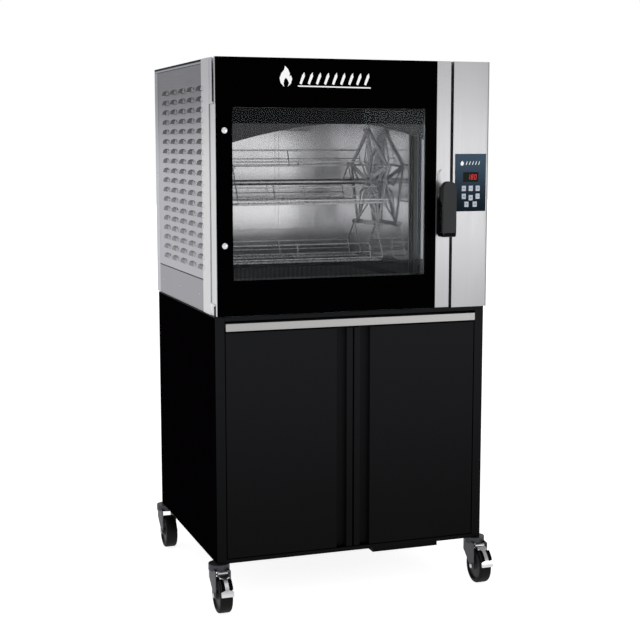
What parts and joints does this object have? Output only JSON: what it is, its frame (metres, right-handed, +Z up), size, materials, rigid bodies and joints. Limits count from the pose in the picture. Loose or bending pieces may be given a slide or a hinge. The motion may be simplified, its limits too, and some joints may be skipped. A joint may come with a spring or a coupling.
{
  "type": "rotisserie oven",
  "caption": "Floor-standing rotisserie oven with a hinged glass door, a turning rotor of hanging wire baskets, a keypad column and a cabinet stand with a pull-out shelf on braked castors.",
  "frame": {"origin": "on the floor, at the middle of the footprint box", "axes": "+X to the right seen from the front, +Y to the back, +Z up; the door faces -Y"},
  "size_m": [1.049, 1.0138, 1.8833],
  "materials": {
    "stainless": "brushed",
    "liner": "satin",
    "polished": "polished",
    "basket_wire": "polished",
    "black_glass": "gloss",
    "clear_glass": "clear",
    "seal_rubber": "matt",
    "charcoal_plastic": "fine texture",
    "keypad": "satin film",
    "key_plastic": "satin",
    "motor_paint": "satin",
    "black_steel": "fine powder coat",
    "fork_metal": "satin",
    "wheel_tyre": "matt"
  },
  "bodies": {
    "machine": {"side_panel_left": "stainless", "side_panel_right": "stainless", "roof_panel": "stainless", "base_panel": "stainless", "front_post": "stainless", "control_column": "stainless", "back_panel": "stainless", "cable_inlet": "seal_rubber", "front_frame": "stainless", "door_seal": "seal_rubber", "cavity_side_left": "liner", "cavity_side_right": "liner", "cavity_roof": "liner", "cavity_floor": "liner", "cavity_back": "liner", "drip_tray": "polished", "fan_cover": "liner", "gear_motor": "motor_paint", "control_panel": "keypad", "stand_side_left": "black_steel", "stand_side_right": "black_steel", "stand_back": "black_steel", "stand_top": "black_steel", "stand_floor": "black_steel"},
    "oven_door": {"door_glass_outer": "black_glass", "door_glass_inner": "clear_glass", "door_frame": "stainless", "door_stile": "stainless", "latch_base": "charcoal_plastic"},
    "lever": {"door_lever": "charcoal_plastic"},
    "rotor": {"rotor_shaft": "polished", "star_left": "polished", "star_right": "polished"},
    "hanging_basket_1": {"basket_1": "basket_wire"},
    "hanging_basket_2": {"basket_2": "basket_wire"},
    "hanging_basket_3": {"basket_3": "basket_wire"},
    "hanging_basket_4": {"basket_4": "basket_wire"},
    "hanging_basket_5": {"basket_5": "basket_wire"},
    "fan_wheel": {"fan": "polished"},
    "push_key_1": {"key_1": "key_plastic"},
    "push_key_2": {"key_2": "key_plastic"},
    "push_key_3": {"key_3": "key_plastic"},
    "push_key_4": {"key_4": "key_plastic"},
    "push_key_5": {"key_5": "key_plastic"},
    "push_key_6": {"key_6": "key_plastic"},
    "push_key_7": {"key_7": "key_plastic"},
    "push_key_8": {"key_8": "key_plastic"},
    "cabinet_door_left": {"stand_door_left": "black_steel"},
    "cabinet_door_right": {"stand_door_right": "black_steel"},
    "shelf": {"pullout_shelf": "stainless"},
    "swivel_front_left": {"castor_fork_front_left": "fork_metal"},
    "wheel_front_left": {"castor_wheel_front_left": "wheel_tyre"},
    "swivel_front_right": {"castor_fork_front_right": "fork_metal"},
    "wheel_front_right": {"castor_wheel_front_right": "wheel_tyre"},
    "swivel_rear_left": {"castor_fork_rear_left": "fork_metal"},
    "wheel_rear_left": {"castor_wheel_rear_left": "wheel_tyre"},
    "swivel_rear_right": {"castor_fork_rear_right": "fork_metal"},
    "wheel_rear_right": {"castor_wheel_rear_right": "wheel_tyre"},
    "brake_left": {"brake_pedal_left": "polished"},
    "brake_right": {"brake_pedal_right": "polished"}
  },
  "joints": [
    {"name": "oven_door_hinge", "type": "hinge", "parent": "machine", "child": "oven_door", "pos_m": [-0.48, -0.37908, 1.45], "axis": [0, 0, -1], "range_deg": [0, 110]},
    {"name": "lever_turn", "type": "hinge", "parent": "oven_door", "child": "lever", "pos_m": [0.326, -0.46308, 1.4333], "axis": [0, 1, 0], "range_deg": [-45, 45]},
    {"name": "rotor_spin", "type": "hinge", "parent": "machine", "child": "rotor", "pos_m": [0.008, -0.03708, 1.4593], "axis": [1, 0, 0], "continuous": true},
    {"name": "basket_1_swing", "type": "hinge", "parent": "rotor", "child": "hanging_basket_1", "pos_m": [0.008, -0.03708, 1.6493], "axis": [1, 0, 0], "continuous": true},
    {"name": "basket_2_swing", "type": "hinge", "parent": "rotor", "child": "hanging_basket_2", "pos_m": [0.008, -0.21778, 1.51801], "axis": [1, 0, 0], "continuous": true},
    {"name": "basket_3_swing", "type": "hinge", "parent": "rotor", "child": "hanging_basket_3", "pos_m": [0.008, -0.14876, 1.30559], "axis": [1, 0, 0], "continuous": true},
    {"name": "basket_4_swing", "type": "hinge", "parent": "rotor", "child": "hanging_basket_4", "pos_m": [0.008, 0.0746, 1.30559], "axis": [1, 0, 0], "continuous": true},
    {"name": "basket_5_swing", "type": "hinge", "parent": "rotor", "child": "hanging_basket_5", "pos_m": [0.008, 0.14362, 1.51801], "axis": [1, 0, 0], "continuous": true},
    {"name": "fan_spin", "type": "hinge", "parent": "machine", "child": "fan_wheel", "pos_m": [-0.102, 0.28092, 1.4593], "axis": [0, 1, 0], "continuous": true},
    {"name": "key_1_press", "type": "slide", "parent": "machine", "child": "push_key_1", "axis": [0, 1, 0], "range_m": [0, 0.0012], "stiffness_N_per_m": 400, "springref_m": -0.0005},
    {"name": "key_2_press", "type": "slide", "parent": "machine", "child": "push_key_2", "axis": [0, 1, 0], "range_m": [0, 0.0012], "stiffness_N_per_m": 400, "springref_m": -0.0005},
    {"name": "key_3_press", "type": "slide", "parent": "machine", "child": "push_key_3", "axis": [0, 1, 0], "range_m": [0, 0.0012], "stiffness_N_per_m": 400, "springref_m": -0.0005},
    {"name": "key_4_press", "type": "slide", "parent": "machine", "child": "push_key_4", "axis": [0, 1, 0], "range_m": [0, 0.0012], "stiffness_N_per_m": 400, "springref_m": -0.0005},
    {"name": "key_5_press", "type": "slide", "parent": "machine", "child": "push_key_5", "axis": [0, 1, 0], "range_m": [0, 0.0012], "stiffness_N_per_m": 400, "springref_m": -0.0005},
    {"name": "key_6_press", "type": "slide", "parent": "machine", "child": "push_key_6", "axis": [0, 1, 0], "range_m": [0, 0.0012], "stiffness_N_per_m": 400, "springref_m": -0.0005},
    {"name": "key_7_press", "type": "slide", "parent": "machine", "child": "push_key_7", "axis": [0, 1, 0], "range_m": [0, 0.0012], "stiffness_N_per_m": 400, "springref_m": -0.0005},
    {"name": "key_8_press", "type": "slide", "parent": "machine", "child": "push_key_8", "axis": [0, 1, 0], "range_m": [0, 0.0012], "stiffness_N_per_m": 400, "springref_m": -0.0005},
    {"name": "cabinet_door_left_hinge", "type": "hinge", "parent": "machine", "child": "cabinet_door_left", "pos_m": [-0.4563, -0.40608, 0.57], "axis": [0, 0, -1], "range_deg": [0, 105]},
    {"name": "cabinet_door_right_hinge", "type": "hinge", "parent": "machine", "child": "cabinet_door_right", "pos_m": [0.4563, -0.40608, 0.57], "axis": [0, 0, 1], "range_deg": [0, 105]},
    {"name": "shelf_slide", "type": "slide", "parent": "machine", "child": "shelf", "axis": [0, -1, 0], "range_m": [0, 0.35]},
    {"name": "swivel_front_left_turn", "type": "hinge", "parent": "machine", "child": "swivel_front_left", "pos_m": [-0.4875, -0.39008, 0.15], "axis": [0, 0, 1], "continuous": true},
    {"name": "wheel_front_left_spin", "type": "hinge", "parent": "swivel_front_left", "child": "wheel_front_left", "pos_m": [-0.4875, -0.43208, 0.0625], "axis": [1, 0, 0], "continuous": true},
    {"name": "swivel_front_right_turn", "type": "hinge", "parent": "machine", "child": "swivel_front_right", "pos_m": [0.4875, -0.39008, 0.15], "axis": [0, 0, 1], "continuous": true},
    {"name": "wheel_front_right_spin", "type": "hinge", "parent": "swivel_front_right", "child": "wheel_front_right", "pos_m": [0.4875, -0.43208, 0.0625], "axis": [1, 0, 0], "continuous": true},
    {"name": "swivel_rear_left_turn", "type": "hinge", "parent": "machine", "child": "swivel_rear_left", "pos_m": [-0.4875, 0.41792, 0.15], "axis": [0, 0, 1], "continuous": true},
    {"name": "wheel_rear_left_spin", "type": "hinge", "parent": "swivel_rear_left", "child": "wheel_rear_left", "pos_m": [-0.4875, 0.37592, 0.0625], "axis": [1, 0, 0], "continuous": true},
    {"name": "swivel_rear_right_turn", "type": "hinge", "parent": "machine", "child": "swivel_rear_right", "pos_m": [0.4875, 0.41792, 0.15], "axis": [0, 0, 1], "continuous": true},
    {"name": "wheel_rear_right_spin", "type": "hinge", "parent": "swivel_rear_right", "child": "wheel_rear_right", "pos_m": [0.4875, 0.37592, 0.0625], "axis": [1, 0, 0], "continuous": true},
    {"name": "brake_left_press", "type": "hinge", "parent": "swivel_front_left", "child": "brake_left", "pos_m": [-0.4875, -0.43408, 0.136], "axis": [1, 0, 0], "range_deg": [0, 4]},
    {"name": "brake_right_press", "type": "hinge", "parent": "swivel_front_right", "child": "brake_right", "pos_m": [0.4875, -0.43408, 0.136], "axis": [1, 0, 0], "range_deg": [0, 4]}
  ],
  "couplings": [
    {"joint": "basket_1_swing", "follows": "rotor_spin", "ratio": -1},
    {"joint": "basket_2_swing", "follows": "rotor_spin", "ratio": -1},
    {"joint": "basket_3_swing", "follows": "rotor_spin", "ratio": -1},
    {"joint": "basket_4_swing", "follows": "rotor_spin", "ratio": -1},
    {"joint": "basket_5_swing", "follows": "rotor_spin", "ratio": -1}
  ]
}
